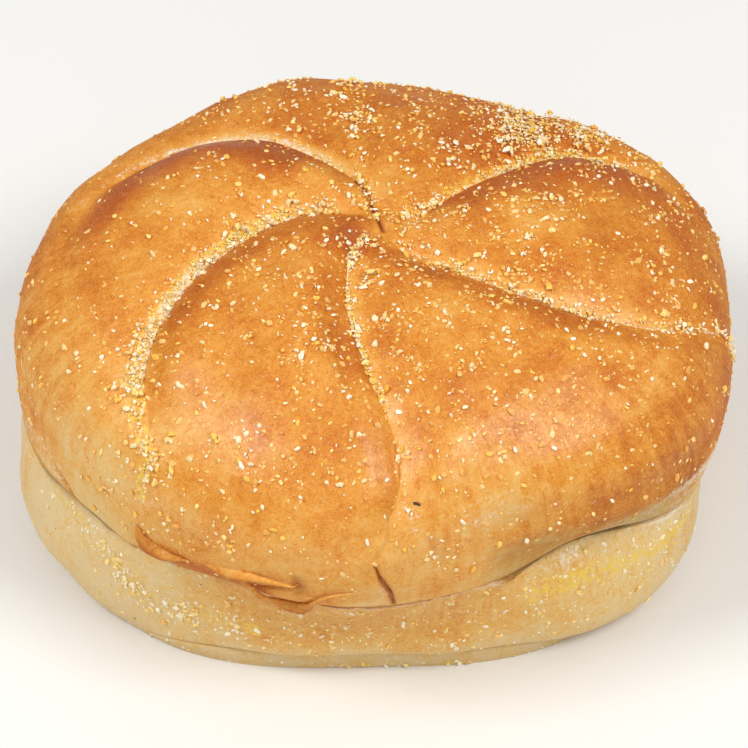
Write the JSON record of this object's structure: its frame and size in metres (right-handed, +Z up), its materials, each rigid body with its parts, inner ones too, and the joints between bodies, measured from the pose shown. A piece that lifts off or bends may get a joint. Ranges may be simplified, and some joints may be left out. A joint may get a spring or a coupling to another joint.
{
  "type": "sliced kaiser roll",
  "caption": "Round bread roll with a swirled, folded crown, cut level into a top and a bottom half, with coarse cornmeal on the crust.",
  "frame": {"origin": "on the flat base, under the swirl's centre", "axes": "+Z up through the crown, -Y towards the front that shows in the picture, +X to the right"},
  "size_m": [0.1086, 0.1014, 0.0534],
  "materials": {
    "browned_crust": "golden brown baked crust with a soft sheen, darker on the crests of the folds; stands in for bread crust",
    "pale_crust": "pale, matt baked crust, golden at the front; stands in for bread crust"
  },
  "bodies": {
    "root": {"top_half": "browned_crust", "bottom_half": "pale_crust"}
  },
  "joints": []
}
